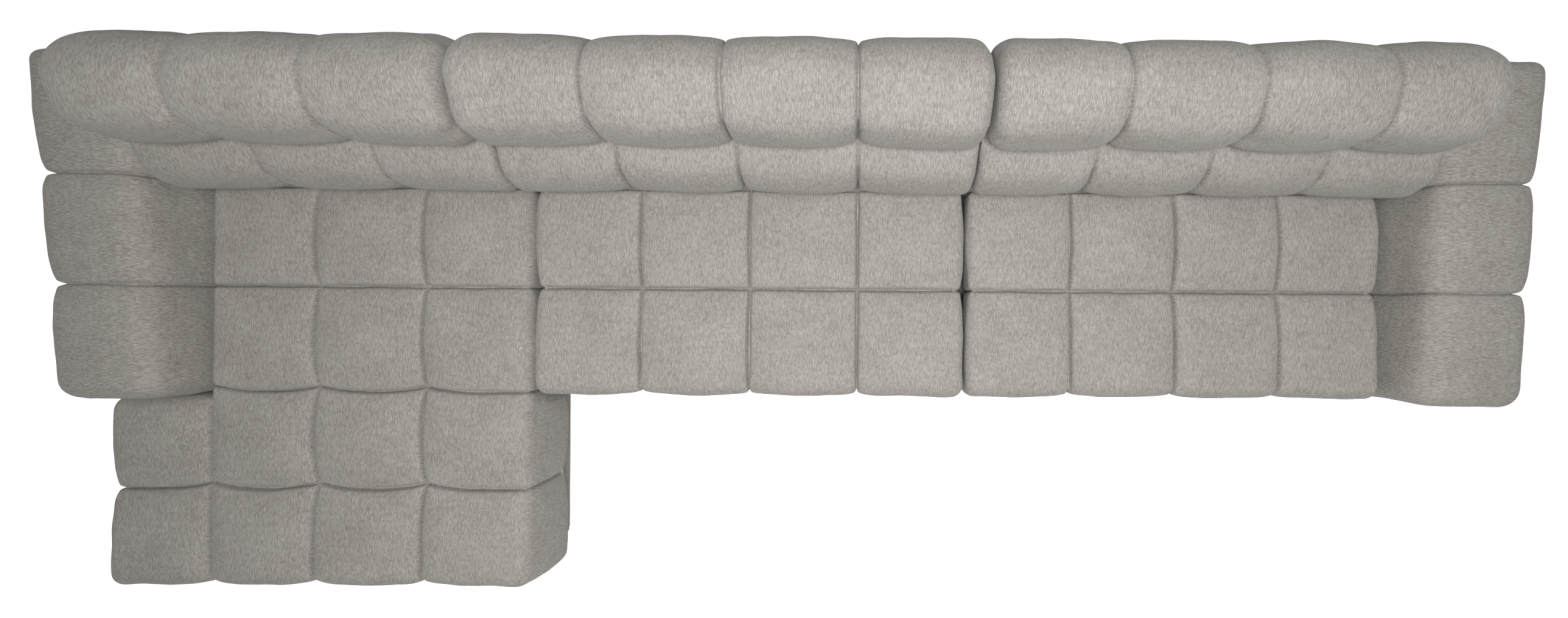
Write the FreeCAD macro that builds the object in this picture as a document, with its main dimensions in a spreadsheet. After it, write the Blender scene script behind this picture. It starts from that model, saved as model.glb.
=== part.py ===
"""Sectional sofa with chaise: three upholstered sections on wooden frames, in millimetres.

The frame's origin is on the floor, under the middle of the sofa's box. +X runs along the sofa towards the
right arm, +Y towards the back, and +Z up. The chaise reaches forward, to -Y, at the left.
The sheet "Sizes" holds the driving dimensions, and the object "Places" the lines worked out from them.
"""
import FreeCAD
import Part
import Sketcher
import math
import os
import re

Vector = FreeCAD.Vector
UP = Vector(0, 0, 1)
ALONG = Vector(1, 0, 0)

SIZES = {
    "chaise_seat_width": 965,
    "middle_seat_width": 1296,
    "right_seat_width": 1254,
    "arm_width": 300,
    "sofa_depth": 960,
    "chaise_depth": 1540,
    "seat_height": 470,
    "back_height": 940,
    "arm_rise_rear": 222,
    "arm_rise_front": 145,
    # Seat rows, from the back pad's foot forward
    "seat_line_from_rear": 334,
    "first_row": 301,
    "second_row": 295,
    "third_row": 291,
    # Upholstery
    "section_gap": 3,
    "tuft_seam_depth": 16,
    "row_seam_depth": 18,
    "tuft_node_depth": 5,
    "crown_play": 2,
    "seat_nose": 50,
    "seat_front_bulge": 8,
    "seat_front_tuck": 18,
    "seat_ledge_drop": 15,
    "seat_end_round": 34,
    "chaise_side_round": 58,
    "roll_height": 240,
    "roll_depth": 262,
    "roll_setback": 20,
    "roll_rear_tuck": 14,
    "roll_end_round": 84,
    "crease_setback": 30,
    "pad_overhang": 28,
    "pad_foot_setback": 24,
    "pad_end_round": 30,
    "arm_shoulder": 62,
    "arm_crown": 12,
    "arm_lean": 10,
    "arm_foot_tuck": 10,
    "arm_end_round": 56,
    "arm_rear_round": 34,
    "arm_padding": 40,
    "chaise_corner_setback": 12,
    # Wooden frame
    "foot_height": 72,
    "foot_radius": 28,
    "foot_tip_radius": 22,
    "foot_inset": 34,
    "dust_cover_thickness": 2,
    "base_inset": 60,
    "frame_setback": 20,
    "rail_height": 140,
    "rail_thickness": 22,
    "stretcher_height": 60,
    "widest_bay": 400,
    "corner_block_side": 92,
    "corner_block_height": 60,
    "band_thickness": 12,
    "back_frame_depth": 100,
    "post_width": 45,
    "back_rail_height": 70,
    "back_panel_thickness": 34,
    "back_panel_from_rear": 28,
    "back_panel_round": 10,
    "arm_board": 18,
    "arm_foot_inset": 68,
    # Springs, straps and felt
    "wire_diameter": 4,
    "spring_spacing": 150,
    "spring_half_width": 22,
    "spring_turn_radius": 15,
    "spring_lead": 14,
    "clip_width": 11,
    "clip_sheet": 1.2,
    "clip_length": 12,
    "deck_thickness": 11,
    "strap_width": 50,
    "strap_thickness": 1.5,
    "strap_count": 4,
    # Fasteners and connectors
    "bolt_radius": 4,
    "bolt_length": 70,
    "bolt_head_radius": 7,
    "bolt_head_height": 5,
    "hole_clearance": 0.1,
    "fit_gap": 0.3,
    "screw_radius": 2.5,
    "screw_length": 20,
    "screw_head_radius": 4.5,
    "screw_head_height": 2.5,
    "plate_thickness": 4,
    "receiver_height": 60,
    "receiver_cheek": 15,
    "receiver_lip": 12,
    "receiver_lift": 6,
    "tongue_width": 60,
    "tongue_depth": 45,
    "tongue_play": 0.5,
    "connector_from_front": 260,
}

PLACES = {
    "half_width": "arm_width + (chaise_seat_width + middle_seat_width + right_seat_width) / 2",
    "left_inner_x": "arm_width - half_width",
    "chaise_joint_x": "left_inner_x + chaise_seat_width",
    "right_joint_x": "chaise_joint_x + middle_seat_width",
    "right_inner_x": "right_joint_x + right_seat_width",
    "rear_y": "chaise_depth / 2",
    "sofa_front_y": "rear_y - sofa_depth",
    "seat_line_y": "rear_y - seat_line_from_rear",
    "first_seam_y": "seat_line_y - first_row",
    "second_seam_y": "first_seam_y - second_row",
    "third_seam_y": "second_seam_y - third_row",
    "panel_rear_y": "rear_y - back_panel_from_rear",
    "back_frame_rear_y": "panel_rear_y - back_panel_thickness",
    "back_frame_front_y": "back_frame_rear_y - back_frame_depth",
    "pad_rear_y": "back_frame_front_y - strap_thickness - 2 * fit_gap",
    "base_z": "foot_height + dust_cover_thickness",
    "rail_top_z": "base_z + rail_height",
    "clip_top_z": "rail_top_z + wire_diameter + clip_sheet + 2 * fit_gap",
    "deck_z": "clip_top_z + fit_gap",
    "cushion_z": "deck_z + deck_thickness + fit_gap",
    "arm_rear_top_z": "seat_height + arm_rise_rear",
    "arm_front_top_z": "seat_height + arm_rise_front",
    "arm_room_top_z": "arm_front_top_z - arm_padding - arm_crown",
    "ledge_z": "seat_height - seat_ledge_drop",
    "pad_z": "ledge_z + crown_play",
    "roll_z": "back_height - roll_height",
    "pad_top_z": "roll_z - fit_gap",
    "sofa_rail_y": "sofa_front_y + base_inset",
    "chaise_rail_y": "base_inset - rear_y",
    "seat_frame_rear_y": "back_frame_front_y - fit_gap",
    "chaise_split_y": "sofa_front_y - section_gap",
    "chaise_frame_right_x": "chaise_joint_x - base_inset",
    "chaise_left_x": "left_inner_x - arm_width + chaise_corner_setback",
    "chaise_frame_left_x": "chaise_left_x + base_inset",
    "middle_frame_left_x": "chaise_joint_x + frame_setback",
    "middle_frame_right_x": "right_joint_x - frame_setback",
    "right_frame_left_x": "right_joint_x + frame_setback",
    "bolt_hole_radius": "bolt_radius + hole_clearance",
    "screw_hole_radius": "screw_radius + hole_clearance",
    "connector_y": "sofa_rail_y + connector_from_front",
    "receiver_z": "base_z + receiver_lift",
    "pocket_half_width": "tongue_width / 2 + tongue_play",
    "receiver_half_width": "pocket_half_width + receiver_cheek",
    "pocket_x": "plate_thickness + 2 * tongue_play + plate_thickness",
    "receiver_depth": "pocket_x + plate_thickness",
    "tongue_z": "receiver_z + receiver_height + 2 * tongue_play + plate_thickness",
    "tongue_reach": "2 * frame_setback - plate_thickness - tongue_play",
}

# The middle of a quarter arc lies this share of the radius inside the corner that the arc rounds
QUARTER_ARC = 1 - math.sqrt(0.5)
# A tuft between its seams: shares of its width, and how much of the seam's depth it draws in there
TUFT_SWELL = [(0.0, 1.0), (0.2, 0.36), (0.5, 0.0), (0.8, 0.36), (1.0, 1.0)]
# The middle and end of each arc of the roll's side view: shares of its depth from the front, and its height
ROLL_ARCS = [(0.015, 0.19, 0.0, 0.42), (0.1, 0.83, 0.5, 1.0), (0.84, 0.87, 1.0, 0.6)]
# The back pad's front view is full at mid height; each arc's middle lies at these shares of its rise
PAD_UPPER_ARC = (0.3, 0.62)
PAD_LOWER_ARC = (0.3, 0.65)
# The arm's inner face is straight up to this share of the height below its shoulder
ARM_WAIST = 0.83

doc = FreeCAD.newDocument("SectionalSofa")
pieces = []


def linked(text):
    """A formula in which each size or place is named by the object that holds it."""
    def owner(match):
        word = match.group()
        return "Sizes." + word if word in SIZES else "Places." + word if word in PLACES else word
    return re.sub(r"[a-z][a-z_]*", owner, text)


def fill_sheet():
    sheet = doc.addObject("Spreadsheet::Sheet", "Sizes")
    for row, (alias, amount) in enumerate(SIZES.items(), 1):
        sheet.set(f"A{row}", alias.replace("_", " "))
        sheet.set(f"B{row}", str(amount))
        sheet.setAlias(f"B{row}", alias)
    doc.recompute()
    places = doc.addObject("App::FeaturePython", "Places")
    for name in PLACES:
        places.addProperty("App::PropertyFloat", name)
    for name, text in PLACES.items():
        places.setExpression(name, linked(text))
    reading = doc.addObject("App::FeaturePython", "Reading")
    reading.addProperty("App::PropertyFloat", "amount")
    doc.recompute()
    return reading


reading = fill_sheet()


def number(text):
    """What a formula comes to now, in millimetres."""
    reading.setExpression("amount", linked(str(text)))
    reading.recompute()
    return reading.amount


def bind(thing, **formulas):
    """Binds properties to formulas; x, y and z stand for the placement's base."""
    for name, text in formulas.items():
        path = f"Placement.Base.{name}" if name in ("x", "y", "z") else name
        thing.setExpression(path, linked(str(text)))
    return thing


def keep(thing, label):
    """Marks an object as a sub-part, exported under its label."""
    thing.Label = label
    pieces.append(thing)
    return thing


def board(name, x, y, z, length, width, height):
    """A rectangular board from its lowest corner."""
    box = doc.addObject("Part::Box", name)
    return bind(box, x=x, y=y, z=z, Length=length, Width=width, Height=height)


def rod(name, x, y, z, radius, length, axis=UP):
    """A round bar or hole along an axis, from the middle of its first end."""
    bar = doc.addObject("Part::Cylinder", name)
    bar.Placement.Rotation = FreeCAD.Rotation(UP, axis)
    return bind(bar, x=x, y=y, z=z, Radius=radius, Height=length)


def copy_of(thing, x, y, z, turn=0, axis=UP):
    """Another copy of a piece: its Z laid along an axis, or turned about Z, and set at a place."""
    copy = doc.addObject("App::Link", thing.Name + "_copy")
    copy.LinkedObject = thing
    copy.Placement.Rotation = FreeCAD.Rotation(UP, axis) if turn == 0 else FreeCAD.Rotation(UP, turn)
    return bind(copy, x=x, y=y, z=z)


def group(label, things):
    """Separate solids that share one node."""
    compound = doc.addObject("Part::Compound", label)
    compound.Links = things
    return keep(compound, label)


def bored(thing, holes):
    """A piece with round holes through it."""
    cut = doc.addObject("Part::Cut", thing.Name + "_bored")
    tools = doc.addObject("Part::Compound", thing.Name + "_holes")
    tools.Links = holes
    cut.Base, cut.Tool = thing, tools
    return cut


def outline(body, role, corners, circle=None):
    """A closed sketch of straight sides on one of the body's own planes, each corner bound to the sheet."""
    plane = next(feature for feature in body.Origin.OriginFeatures if feature.Role == role)
    sketch = body.newObject("Sketcher::SketchObject", body.Name + "_outline")
    sketch.AttachmentSupport = (plane, [""])
    sketch.MapMode = "FlatFace"
    spots = [Vector(number(across), number(along), 0) for across, along in corners]
    count = len(spots)
    for index in range(count):
        sketch.addGeometry(Part.LineSegment(spots[index], spots[(index + 1) % count]), False)
    for index in range(count):
        sketch.addConstraint(Sketcher.Constraint("Coincident", index, 2, (index + 1) % count, 1))
    for index, corner in enumerate(corners):
        pin_point(sketch, index, 1, spots[index], corner)
    if circle:
        across, along, radius = circle
        centre = Vector(number(across), number(along), 0)
        ring = sketch.addGeometry(Part.Circle(centre, UP, number(radius)), False)
        pin_point(sketch, ring, 3, centre, (across, along))
        place = sketch.addConstraint(Sketcher.Constraint("Radius", ring, number(radius)))
        sketch.setExpression(f"Constraints[{place}]", linked(radius))
    return sketch


def pin_point(sketch, geometry, which, spot, formulas):
    """Fixes one point of a sketch by its two distances from the origin."""
    for kind, distance, text in (("DistanceX", spot.x, formulas[0]), ("DistanceY", spot.y, formulas[1])):
        place = sketch.addConstraint(Sketcher.Constraint(kind, -1, 1, geometry, which, distance))
        sketch.setExpression(f"Constraints[{place}]", linked(str(text)))


def padded_body(name, role, corners, length, circle=None, both_ways=False):
    """A body of one outline, padded to a length."""
    body = doc.addObject("PartDesign::Body", name)
    sketch = outline(body, role, corners, circle)
    pad = body.newObject("PartDesign::Pad", name + "_pad")
    pad.Profile = sketch
    pad.Midplane = both_ways
    pad.setExpression("Length", linked(str(length)))
    doc.recompute()
    return body


def turned_body(name, corners):
    """A body of revolution about Z, from radius and height pairs."""
    body = doc.addObject("PartDesign::Body", name)
    sketch = outline(body, "XZ_Plane", corners)
    turned = body.newObject("PartDesign::Revolution", name + "_turned")
    turned.Profile = sketch
    turned.ReferenceAxis = (sketch, ["V_Axis"])
    turned.Angle = 360
    doc.recompute()
    return body


# Soft forms

def ring(path, spot):
    """A closed wire through a path: a pair is the end of a straight side, and four numbers are an arc's
    middle and end. spot turns a pair into a point of the section's plane."""
    edges, start = [], spot(*path[0])
    for step in path[1:] + [path[0]]:
        end = spot(*step[-2:])
        if len(step) == 4:
            edges.append(Part.Arc(start, spot(*step[:2]), end).toShape())
        else:
            edges.append(Part.LineSegment(start, end).toShape())
        start = end
    return Part.Wire(edges)


def rounded_insets(radius):
    """How far a rounded end draws in, at distances from that end. It eases into the tuft's own crown."""
    ease = 0.04
    spots = (0.0, 0.15, 0.5, 1.0)
    return [(radius * far, radius * (1 - math.sqrt(1 - (1 - far) ** 2) * (1 - ease))) for far in spots]


def tufts(seams, first_round, last_round, profile):
    """Tufts side by side, sewn into one solid. seams are the ends and the sewn lines between them, and a
    round of 0 leaves that end drawn in like a seam. profile gives the wire at a station and an inset."""
    seam = number("tuft_seam_depth")
    skins = []
    for index in range(len(seams) - 1):
        low, high = seams[index], seams[index + 1]
        stations = [(low + (high - low) * share, seam * depth) for share, depth in TUFT_SWELL]
        if index == 0 and first_round:
            stations = [(low + far, inset) for far, inset in rounded_insets(first_round)] + stations[2:]
        if index == len(seams) - 2 and last_round:
            ends = [(high - far, inset) for far, inset in reversed(rounded_insets(last_round))]
            stations = stations[:-2] + ends
        wires = [profile(*station) for station in stations]
        skins.append(Part.makeLoft(wires, False, False))
        if index == 0:
            skins.append(Part.Face(wires[0]))
        if index == len(seams) - 2:
            skins.append(Part.Face(wires[-1]))
    shell = Part.makeShell([face for skin in skins for face in skin.Faces])
    shell.sewShape()
    solid = Part.makeSolid(shell)
    if solid.Volume < 0:
        solid.reverse()
    return solid


def soft(label, shape):
    """A padded piece as one closed solid."""
    thing = doc.addObject("Part::Feature", label)
    thing.Shape = shape
    return keep(thing, label)


def evenly(low, high, count):
    return [low + (high - low) * index / count for index in range(count + 1)]


def seat_profile(rows, rear, ledge, front):
    """The side view of a seat: rows are the lines where its tufts meet, from the rear forward."""
    height, bottom = number("seat_height"), number("cushion_z")
    seam, node = number("row_seam_depth"), number("tuft_node_depth")
    column_seam = number("tuft_seam_depth")
    nose, bulge, tuck = number("seat_nose"), number("seat_front_bulge"), number("seat_front_tuck")

    def wire(x, inset):
        top = height - inset
        share = min(inset / column_seam, 1)
        dip = top - seam - (node - seam) * share
        path = [(rear, bottom), (rear, ledge - inset), (rows[0], ledge - inset)]
        lines = rows[:-1] + [rows[-1] + inset]
        for near, far in zip(lines, lines[1:]):
            path.append(((near + far) / 2, top, far, dip))
        face = front + bulge + inset
        path.append((face + QUARTER_ARC * nose, dip - QUARTER_ARC * nose, face, dip - nose))
        path.append((face - bulge, (dip - nose + bottom) / 2, face + tuck, bottom))
        return ring(path, lambda y, z: Vector(x, y, z))
    return wire


def roll_profile():
    """The side view of the roll along the top of the back, on a flat underside."""
    rear = number("rear_y - roll_setback")
    bottom, height = number("roll_z"), number("roll_height")
    depth, crease, tuck = number("roll_depth"), number("crease_setback"), number("roll_rear_tuck")
    front, low_end = rear - depth, ROLL_ARCS[-1][-1]
    middle_y, middle_z = rear - depth / 2, bottom + height / 2
    spots = [(front + across * depth, bottom + up * height, front + far * depth, bottom + high * height)
             for across, up, far, high in ROLL_ARCS]
    spots.append((rear, bottom + low_end * height / 2, rear - tuck, bottom))

    def drawn(y, z, inset):
        far = math.hypot(y - middle_y, z - middle_z)
        share = 1 - inset / far
        return middle_y + (y - middle_y) * share, max(bottom, middle_z + (z - middle_z) * share)

    def wire(x, inset):
        path = [(drawn(front + crease, bottom, inset)[0], bottom)]
        for step in spots:
            path.append(drawn(*step[:2], inset) + drawn(*step[2:], inset))
        path[-1] = path[-1][:3] + (bottom,)
        return ring(path, lambda y, z: Vector(x, y, z))
    return wire


def pad_profile():
    """The side view of the lower back pad: flat behind and below, full in front."""
    rear, bottom, top = number("pad_rear_y"), number("pad_z"), number("pad_top_z")
    crease = number("rear_y - roll_setback - roll_depth + crease_setback")
    foot, front = number("seat_line_y + pad_foot_setback"), number("seat_line_y - pad_overhang")
    belly = (bottom + top) / 2
    upper_y = front + PAD_UPPER_ARC[0] * (crease - front)
    upper_z = belly + PAD_UPPER_ARC[1] * (top - belly)
    lower_y = front + PAD_LOWER_ARC[0] * (foot - front)
    lower_z = belly - PAD_LOWER_ARC[1] * (belly - bottom)

    def wire(x, inset):
        path = [
            (rear, bottom), (rear, top), (crease + inset, top),
            (upper_y + inset, upper_z, front + inset, belly),
            (lower_y + inset, lower_z, foot + inset, bottom),
        ]
        return ring(path, lambda y, z: Vector(x, y, z))
    return wire


def arm_profile(side):
    """The front view of an arm at a station of its length. side is -1 for the left arm and 1 for the
    right; across is measured outward from the seat."""
    inner = number("left_inner_x") if side < 0 else number("right_inner_x")
    width, shoulder, crown = number("arm_width"), number("arm_shoulder"), number("arm_crown")
    lean, tuck = number("arm_lean"), number("arm_foot_tuck")
    rear_y, front_y, base = number("rear_y"), number("sofa_front_y"), number("base_z")
    rear_top, front_top = number("arm_rear_top_z"), number("arm_front_top_z")
    gap = number("section_gap") / 2

    def wire(y, inset):
        top = front_top + (rear_top - front_top) * (y - front_y) / (rear_y - front_y) - inset
        near, far = gap + inset, width - inset
        edge, low = top - crown / 2, top - shoulder
        waist = base + ARM_WAIST * (low - base)
        rounding = QUARTER_ARC * (edge - low)
        path = [
            (near + tuck, base), (near, (base + waist) / 2, near + lean / 2, waist),
            (near + 0.6 * lean, (waist + low) / 2, near + lean, low),
            (near + lean + QUARTER_ARC * (shoulder - lean), edge - rounding, near + shoulder, edge),
            ((near + far) / 2, top, far - shoulder, edge),
            (far - tuck / 2 - QUARTER_ARC * (shoulder - tuck / 2), edge - rounding, far - tuck / 2, low),
            (far, (base + low) / 2, far - tuck, base),
        ]
        return ring(path, lambda across, z: Vector(inner + side * across, y, z))
    return wire


# Sub-parts

def seats():
    """The three tufted seat cushions. The chaise's has a fourth column in front of its arm."""
    gap = number("section_gap / 2")
    rear, ledge = number("pad_rear_y"), number("ledge_z")
    line, first, second, third = (number(name) for name in
                                  ("seat_line_y", "first_seam_y", "second_seam_y", "third_seam_y"))
    sofa_front, chaise_front = number("sofa_front_y"), number("-rear_y")
    nose, side_round, end_round = (number(name) for name in
                                   ("seat_nose", "chaise_side_round", "seat_end_round"))
    left, joint, right_joint, right = (number(name) for name in
                                       ("left_inner_x", "chaise_joint_x", "right_joint_x", "right_inner_x"))
    sofa_rows = [line, first, sofa_front + nose]
    sofa = seat_profile(sofa_rows, rear, ledge, sofa_front)
    middle_seams = evenly(joint + gap, right_joint - gap, 4)
    soft("middle_seat_cushion", tufts(middle_seams, end_round, end_round, sofa))
    right_seams = evenly(right_joint + gap, right - gap, 4)
    soft("right_seat_cushion", tufts(right_seams, end_round, end_round, sofa))
    long_rows = [line, first, second, third, chaise_front + nose]
    long = seat_profile(long_rows, rear, ledge, chaise_front)
    corner_x = number("chaise_left_x")
    long_seams = [corner_x] + evenly(left + gap, joint - gap, 3)
    arm_front = sofa_front - gap
    arm_room = Part.makeBox(left + gap - corner_x + 1, rear - arm_front + 1, 2 * number("seat_height"))
    arm_room.translate(Vector(corner_x - 1, arm_front, 0))
    soft("chaise_seat_cushion", tufts(long_seams, side_round, side_round, long).cut(arm_room))


def backs():
    """A roll and a lower pad for each section, in the seat's columns."""
    gap = number("section_gap / 2")
    left, joint, right_joint, right = (number(name) for name in
                                       ("left_inner_x", "chaise_joint_x", "right_joint_x", "right_inner_x"))
    spans = {"chaise": (left, joint, 3), "middle": (joint, right_joint, 4),
             "right": (right_joint, right, 4)}
    roll_round, pad_round = number("roll_end_round"), number("pad_end_round")
    for section, (low, high, count) in spans.items():
        seams = evenly(low + gap, high - gap, count)
        soft(f"{section}_back_roll", tufts(seams, roll_round, roll_round, roll_profile()))
        soft(f"{section}_back_pad", tufts(seams, pad_round, pad_round, pad_profile()))


def arms():
    """Each arm is a padded cover of three tufts over a wooden box of boards."""
    rear, front = number("rear_y"), number("sofa_front_y")
    seams = [front, number("first_seam_y"), number("seat_line_y"), rear]
    front_round, rear_round = number("arm_end_round"), number("arm_rear_round")
    padding, width, base = number("arm_padding"), number("arm_width"), number("base_z")
    room_top, rail_top = number("arm_room_top_z"), number("rail_top_z")
    deep = rear - front - 2 * padding
    for name, side in (("left", -1), ("right", 1)):
        inner = number(f"{name}_inner_x")
        cover = tufts(seams, front_round, rear_round, arm_profile(side))
        rooms = []
        for near, far, top in ((padding, width - padding, room_top), (0, padding, rail_top)):
            # The sill's room reaches into the hollow and past the inner face, so that the two cuts meet
            room = Part.makeBox(far - near + 2, deep, top - base + 1)
            low_x = inner + near - 1 if side > 0 else inner - far - 1
            room.translate(Vector(low_x, front + padding, base - 1))
            rooms.append(room)
        soft(f"{name}_arm_pad", cover.cut(rooms[0]).cut(rooms[1]))
        arm_frame(name, side)


def arm_frame(name, side):
    """Three cross panels, a top board and a sill that bolts to the seat frame's side rail."""
    inner = f"{name}_inner_x"
    wide = "(arm_width - 2 * arm_padding - 2 * fit_gap)"
    low = f"{inner} + arm_padding + fit_gap" if side > 0 else f"{inner} - arm_padding - fit_gap - {wide}"
    first, last = "sofa_front_y + arm_padding + fit_gap", "rear_y - arm_padding - fit_gap"
    deep = f"(({last}) - ({first}))"
    tall = "(arm_room_top_z - fit_gap - 2 * arm_board - base_z)"
    spots = arm_foot_spots(name, side)
    holes = [rod(f"{name}_arm_base_hole_{index}", x, y, "foot_height - arm_board", "bolt_hole_radius",
                 "3 * arm_board")
             for index, (x, y) in enumerate(spots)]
    boards = [
        bored(board(f"{name}_arm_base", low, first, "foot_height", wide, deep,
                    "dust_cover_thickness + arm_board"), holes),
        board(f"{name}_arm_top", low, first, f"base_z + arm_board + {tall}", wide, deep, "arm_board"),
    ]
    for index, share in enumerate(("0", "0.5", "1")):
        y = f"{first} + ({deep} - arm_board) * {share}"
        boards.append(board(f"{name}_arm_panel_{index}", low, y, "base_z + arm_board", wide,
                            "arm_board", tall))
    sill_low = f"{inner} + fit_gap" if side > 0 else f"{inner} - arm_padding - fit_gap"
    sill = board(f"{name}_arm_sill", sill_low, first, "base_z", "arm_padding", deep,
                 "rail_height - fit_gap")
    group(f"{name}_arm_frame", boards + [bored(sill, arm_bolt_holes(name, "sill"))])


def arm_foot_spots(name, side):
    x = f"{name}_inner_x + {side} * (arm_width / 2 + fit_gap)"
    return [(x, "sofa_front_y + arm_padding + arm_foot_inset"),
            (x, "rear_y - arm_padding - arm_foot_inset")]


def arm_bolt_spots():
    return ["seat_frame_rear_y - 2 * corner_block_side", "sofa_rail_y + 2 * corner_block_side"]


def arm_bolt_holes(name, where):
    """The two holes that an arm's bolts pass through, long enough for the rail and the sill."""
    return [
        rod(f"{name}_{where}_hole_{index}", f"{name}_inner_x - 2 * rail_thickness - arm_padding", y,
            "base_z + rail_height / 2", "bolt_hole_radius", "4 * rail_thickness + 2 * arm_padding",
            ALONG)
        for index, y in enumerate(arm_bolt_spots())
    ]


def seat_box(section, part, low_x, high_x, low_y, high_y, holes):
    """One rectangle of the seat frame: four rails, stretchers between them and a block in each corner.
    holes gives the round holes through its left and right rails. It returns the feet's places too."""
    name = f"{section}_{part}"
    wide, deep = f"(({high_x}) - ({low_x}))", f"(({high_y}) - ({low_y}))"
    between = f"({deep} - 2 * rail_thickness)"
    inner_y = f"({low_y}) + rail_thickness"
    bays = bay_count(wide)
    things = [
        board(name + "_front_rail", low_x, low_y, "base_z", wide, "rail_thickness", "rail_height"),
        board(name + "_rear_rail", low_x, f"({high_y}) - rail_thickness", "base_z", wide,
              "rail_thickness", "rail_height"),
    ]
    for side, x in (("left", low_x), ("right", f"({high_x}) - rail_thickness")):
        rail = board(f"{name}_{side}_rail", x, inner_y, "base_z", "rail_thickness", between,
                     "rail_height")
        things.append(bored(rail, holes[side]) if side in holes else rail)
    for index in range(1, bays):
        x = f"({low_x}) + ({wide} - rail_thickness) * {index} / {bays}"
        things.append(board(f"{name}_stretcher_{index}", x, inner_y, "base_z", "rail_thickness",
                            between, "stretcher_height"))
    left, right = f"({low_x}) + rail_thickness", f"({high_x}) - rail_thickness"
    near, far = inner_y, f"({high_y}) - rail_thickness"
    corners = [(left, near, 0, 1, 1), (right, near, 90, -1, 1), (right, far, 180, -1, -1),
               (left, far, 270, 1, -1)]
    spots = []
    for x, y, turn, across, along in corners:
        things.append(copy_of(corner_block, x, y, "base_z", turn))
        spots.append((f"{x} + foot_inset * {across}", f"{y} + foot_inset * {along}"))
    return things, spots


def bay_count(width):
    return math.ceil(number(width) / number("widest_bay"))


def spring(name, length_formula):
    """A sinuous spring along Y, flat in its plane, with a straight lead at each end."""
    length, lead = number(length_formula), number("spring_lead")
    reach, wire = number("spring_half_width"), number("wire_diameter")
    turns = round((length - 2 * lead) / (2 * number("spring_turn_radius"))) - 1
    radius = (length - 2 * lead) / (2 * turns + 2)
    diagonal = radius * math.sqrt(0.5)
    edges = [Part.LineSegment(Vector(0, 0, 0), Vector(0, lead, 0)).toShape()]
    edges.append(Part.Arc(Vector(0, lead, 0), Vector(radius - diagonal, lead + diagonal, 0),
                          Vector(radius, lead + radius, 0)).toShape())
    x, y, heading = radius, lead + radius, 1
    for _ in range(turns):
        edges.append(Part.LineSegment(Vector(x, y, 0), Vector(heading * reach, y, 0)).toShape())
        x = heading * reach
        edges.append(Part.Arc(Vector(x, y, 0), Vector(x + heading * radius, y + radius, 0),
                              Vector(x, y + 2 * radius, 0)).toShape())
        y, heading = y + 2 * radius, -heading
    edges.append(Part.LineSegment(Vector(x, y, 0), Vector(-heading * radius, y, 0)).toShape())
    edges.append(Part.Arc(Vector(-heading * radius, y, 0),
                          Vector(-heading * (radius - diagonal), y + radius - diagonal, 0),
                          Vector(0, y + radius, 0)).toShape())
    edges.append(Part.LineSegment(Vector(0, y + radius, 0), Vector(0, length, 0)).toShape())
    sweep = Part.BRepOffsetAPI.MakePipeShell(Part.Wire(edges))
    sweep.add(Part.Wire(Part.Circle(Vector(0, 0, 0), Vector(0, 1, 0), wire / 2).toShape()))
    sweep.build()
    sweep.makeSolid()
    thing = doc.addObject("Part::Feature", name)
    thing.Shape = sweep.shape()
    return thing


def seat_springs(section, part, low_x, high_x, low_y, high_y):
    """Springs from the front rail to the rear rail, and the clips over their ends."""
    length = f"({high_y}) - ({low_y}) - rail_thickness + clip_length"
    start = f"({low_y}) + rail_thickness / 2 - clip_length / 2"
    template = spring(f"{section}_{part}_spring", length)
    count = max(2, math.floor(number(f"({high_x}) - ({low_x})") / number("spring_spacing")))
    springs, clips = [], []
    for index in range(count):
        x = f"({low_x}) + (({high_x}) - ({low_x})) * {index + 0.5} / {count}"
        springs.append(copy_of(template, x, start, "rail_top_z + wire_diameter / 2 + fit_gap"))
        for y in (f"({low_y}) + rail_thickness / 2", f"({high_y}) - rail_thickness / 2"):
            clips.append(copy_of(clip, x, y, "rail_top_z"))
    return springs, clips


def deck_and_dust(section, boxes, spots):
    """Felt over the springs, and cloth under the frame with a hole for each foot's bolt."""
    deck, dust = [], []
    for index, (low_x, high_x, low_y, high_y) in enumerate(boxes):
        wide, deep = f"({high_x}) - ({low_x})", f"({high_y}) - ({low_y})"
        deck.append(board(f"{section}_felt_{index}", low_x, low_y, "deck_z", wide, deep,
                          "deck_thickness"))
        under = deep if index else f"back_frame_rear_y - ({low_y})"
        sheet = board(f"{section}_cloth_{index}", low_x, low_y, "foot_height", wide, under,
                      "dust_cover_thickness")
        holes = [rod(f"{section}_cloth_hole_{index}_{place}", x, y, "foot_height - dust_cover_thickness",
                     "bolt_hole_radius", "3 * dust_cover_thickness")
                 for place, (x, y) in enumerate(spots[index])]
        dust.append(bored(sheet, holes))
    group(f"{section}_deck_pad", deck)
    group(f"{section}_dust_cover", dust)


def feet(section, spots):
    group(f"{section}_feet", [copy_of(foot, x, y, "0") for x, y in spots])
    group(f"{section}_foot_bolts", [copy_of(foot_bolt, x, y, "0") for x, y in spots])


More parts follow.
